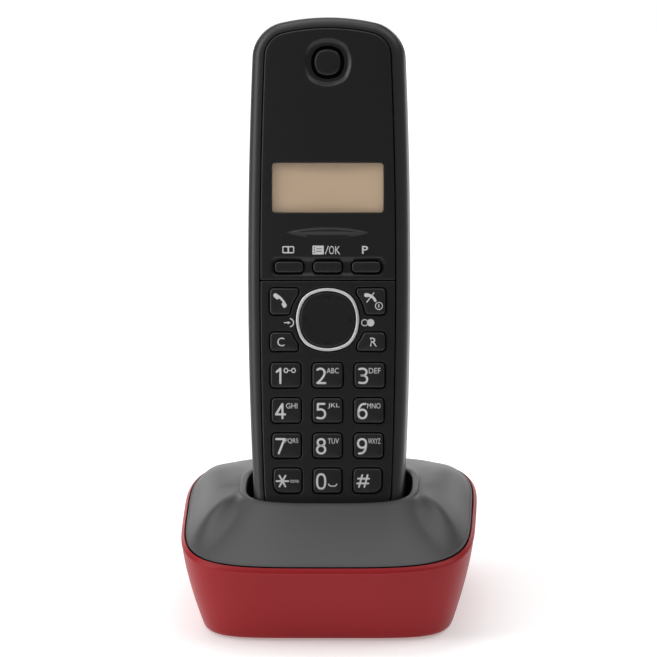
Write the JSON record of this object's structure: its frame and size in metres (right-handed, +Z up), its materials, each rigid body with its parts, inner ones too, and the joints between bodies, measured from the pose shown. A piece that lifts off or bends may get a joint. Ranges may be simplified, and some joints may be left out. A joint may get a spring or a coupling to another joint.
{
  "type": "cordless telephone",
  "caption": "Cordless telephone handset leaning back in a charging base, with sprung keys, a tilting direction pad, a display window and a battery cover that slides open.",
  "frame": {"origin": "on the table, under the middle of the bounding box of the docked phone", "axes": "+Z up, the keypad faces -Y and up, +X is the user's right"},
  "size_m": [0.0878, 0.098, 0.1723],
  "materials": {
    "base_red": "satin moulded",
    "deck_grey": "fine satin texture",
    "rubber": "moulded",
    "screw_steel": "zinc plated",
    "circuit_board": "solder mask",
    "tinplate": "tinned",
    "transformer": "taped winding",
    "capacitor": "sleeved",
    "socket_black": "moulded",
    "contact_metal": "nickel and gold plated",
    "button_grey": "satin",
    "shell_black": "satin moulded",
    "panel_black": "fine satin",
    "keypad_black": "fine satin",
    "ring_silver": "metal plated",
    "window_clear": "clear polished",
    "display_tan": "display glass with a tan reflector",
    "light_guide": "frosted",
    "speaker_black": "moulded",
    "mat_rubber": "silicone",
    "dome_steel": "stamped",
    "cell_wrap": "plastic sleeve",
    "spring_steel": "nickel plated",
    "rocker_grey": "moulded",
    "pad_black": "satin",
    "key_black": "satin"
  },
  "bodies": {
    "base": {"base_lower_shell": "base_red", "base_deck": "deck_grey", "rubber_feet": "rubber", "base_screws": "screw_steel", "base_pcb": "circuit_board", "base_rf_shield": "tinplate", "line_transformer": "transformer", "base_capacitors": "capacitor", "dc_jack": "socket_black", "dc_jack_pin": "contact_metal", "line_jack": "socket_black", "line_jack_contacts": "contact_metal", "page_switch": "socket_black"},
    "handset": {"rear_shell": "shell_black", "upper_panel": "panel_black", "keypad_panel": "keypad_black", "nav_ring": "ring_silver", "display_window": "window_clear", "lcd_module": "display_tan", "lcd_backlight": "light_guide", "earpiece_speaker": "speaker_black", "handset_pcb": "circuit_board", "handset_rf_shield": "tinplate", "keypad_mat": "mat_rubber", "key_domes": "dome_steel", "microphone": "speaker_black", "ringer_speaker": "speaker_black", "battery_1": "cell_wrap", "battery_2": "cell_wrap", "battery_springs": "spring_steel", "battery_plates": "spring_steel", "charge_terminals": "contact_metal", "handset_screws": "screw_steel"},
    "battery_cover": {"battery_cover": "shell_black"},
    "page_button": {"page_button": "button_grey"},
    "charge_contact_left": {"charge_contact_left": "contact_metal"},
    "charge_contact_right": {"charge_contact_right": "contact_metal"},
    "nav_rocker": {"nav_rocker": "rocker_grey"},
    "nav_key": {"nav_key": "pad_black"},
    "softkey_left": {"softkey_left": "key_black"},
    "softkey_middle": {"softkey_middle": "key_black"},
    "softkey_right": {"softkey_right": "key_black"},
    "talk_key": {"talk_key": "key_black"},
    "off_key": {"off_key": "key_black"},
    "clear_key": {"clear_key": "key_black"},
    "recall_key": {"recall_key": "key_black"},
    "key_1": {"key_1": "key_black"},
    "key_2": {"key_2": "key_black"},
    "key_3": {"key_3": "key_black"},
    "key_4": {"key_4": "key_black"},
    "key_5": {"key_5": "key_black"},
    "key_6": {"key_6": "key_black"},
    "key_7": {"key_7": "key_black"},
    "key_8": {"key_8": "key_black"},
    "key_9": {"key_9": "key_black"},
    "key_star": {"key_star": "key_black"},
    "key_0": {"key_0": "key_black"},
    "key_hash": {"key_hash": "key_black"}
  },
  "joints": [
    {"name": "handset_lift", "type": "slide", "parent": "base", "child": "handset", "axis": [0, 0.309, 0.9511], "range_m": [0, 0.06]},
    {"name": "battery_cover_slide", "type": "slide", "parent": "handset", "child": "battery_cover", "axis": [0, -0.309, -0.9511], "range_m": [0, 0.008]},
    {"name": "page_button_press", "type": "slide", "parent": "base", "child": "page_button", "axis": [0, -1, 0], "range_m": [0, 0.0008], "stiffness_N_per_m": 400},
    {"name": "charge_contact_left_press", "type": "slide", "parent": "base", "child": "charge_contact_left", "axis": [0, -0.309, -0.9511], "range_m": [0, 0.001], "stiffness_N_per_m": 500},
    {"name": "charge_contact_right_press", "type": "slide", "parent": "base", "child": "charge_contact_right", "axis": [0, -0.309, -0.9511], "range_m": [0, 0.001], "stiffness_N_per_m": 500},
    {"name": "nav_tilt_up_down", "type": "hinge", "parent": "handset", "child": "nav_rocker", "pos_m": [0, 0.0011, 0.08651], "axis": [1, 0, 0], "range_deg": [-2.2, 2.2], "stiffness_Nm_per_rad": 0.05},
    {"name": "nav_tilt_left_right", "type": "hinge", "parent": "nav_rocker", "child": "nav_key", "pos_m": [0, 0.0011, 0.08651], "axis": [0, 0.309, 0.9511], "range_deg": [-2.2, 2.2], "stiffness_Nm_per_rad": 0.05},
    {"name": "softkey_left_press", "type": "slide", "parent": "handset", "child": "softkey_left", "axis": [0, 0.9511, -0.309], "range_m": [0, 0.0008], "stiffness_N_per_m": 300},
    {"name": "softkey_middle_press", "type": "slide", "parent": "handset", "child": "softkey_middle", "axis": [0, 0.9511, -0.309], "range_m": [0, 0.0008], "stiffness_N_per_m": 300},
    {"name": "softkey_right_press", "type": "slide", "parent": "handset", "child": "softkey_right", "axis": [0, 0.9511, -0.309], "range_m": [0, 0.0008], "stiffness_N_per_m": 300},
    {"name": "talk_key_press", "type": "slide", "parent": "handset", "child": "talk_key", "axis": [0, 0.9511, -0.309], "range_m": [0, 0.0008], "stiffness_N_per_m": 300},
    {"name": "off_key_press", "type": "slide", "parent": "handset", "child": "off_key", "axis": [0, 0.9511, -0.309], "range_m": [0, 0.0008], "stiffness_N_per_m": 300},
    {"name": "clear_key_press", "type": "slide", "parent": "handset", "child": "clear_key", "axis": [0, 0.9511, -0.309], "range_m": [0, 0.0008], "stiffness_N_per_m": 300},
    {"name": "recall_key_press", "type": "slide", "parent": "handset", "child": "recall_key", "axis": [0, 0.9511, -0.309], "range_m": [0, 0.0008], "stiffness_N_per_m": 300},
    {"name": "key_1_press", "type": "slide", "parent": "handset", "child": "key_1", "axis": [0, 0.9511, -0.309], "range_m": [0, 0.0008], "stiffness_N_per_m": 300},
    {"name": "key_2_press", "type": "slide", "parent": "handset", "child": "key_2", "axis": [0, 0.9511, -0.309], "range_m": [0, 0.0008], "stiffness_N_per_m": 300},
    {"name": "key_3_press", "type": "slide", "parent": "handset", "child": "key_3", "axis": [0, 0.9511, -0.309], "range_m": [0, 0.0008], "stiffness_N_per_m": 300},
    {"name": "key_4_press", "type": "slide", "parent": "handset", "child": "key_4", "axis": [0, 0.9511, -0.309], "range_m": [0, 0.0008], "stiffness_N_per_m": 300},
    {"name": "key_5_press", "type": "slide", "parent": "handset", "child": "key_5", "axis": [0, 0.9511, -0.309], "range_m": [0, 0.0008], "stiffness_N_per_m": 300},
    {"name": "key_6_press", "type": "slide", "parent": "handset", "child": "key_6", "axis": [0, 0.9511, -0.309], "range_m": [0, 0.0008], "stiffness_N_per_m": 300},
    {"name": "key_7_press", "type": "slide", "parent": "handset", "child": "key_7", "axis": [0, 0.9511, -0.309], "range_m": [0, 0.0008], "stiffness_N_per_m": 300},
    {"name": "key_8_press", "type": "slide", "parent": "handset", "child": "key_8", "axis": [0, 0.9511, -0.309], "range_m": [0, 0.0008], "stiffness_N_per_m": 300},
    {"name": "key_9_press", "type": "slide", "parent": "handset", "child": "key_9", "axis": [0, 0.9511, -0.309], "range_m": [0, 0.0008], "stiffness_N_per_m": 300},
    {"name": "key_star_press", "type": "slide", "parent": "handset", "child": "key_star", "axis": [0, 0.9511, -0.309], "range_m": [0, 0.0008], "stiffness_N_per_m": 300},
    {"name": "key_0_press", "type": "slide", "parent": "handset", "child": "key_0", "axis": [0, 0.9511, -0.309], "range_m": [0, 0.0008], "stiffness_N_per_m": 300},
    {"name": "key_hash_press", "type": "slide", "parent": "handset", "child": "key_hash", "axis": [0, 0.9511, -0.309], "range_m": [0, 0.0008], "stiffness_N_per_m": 300}
  ]
}
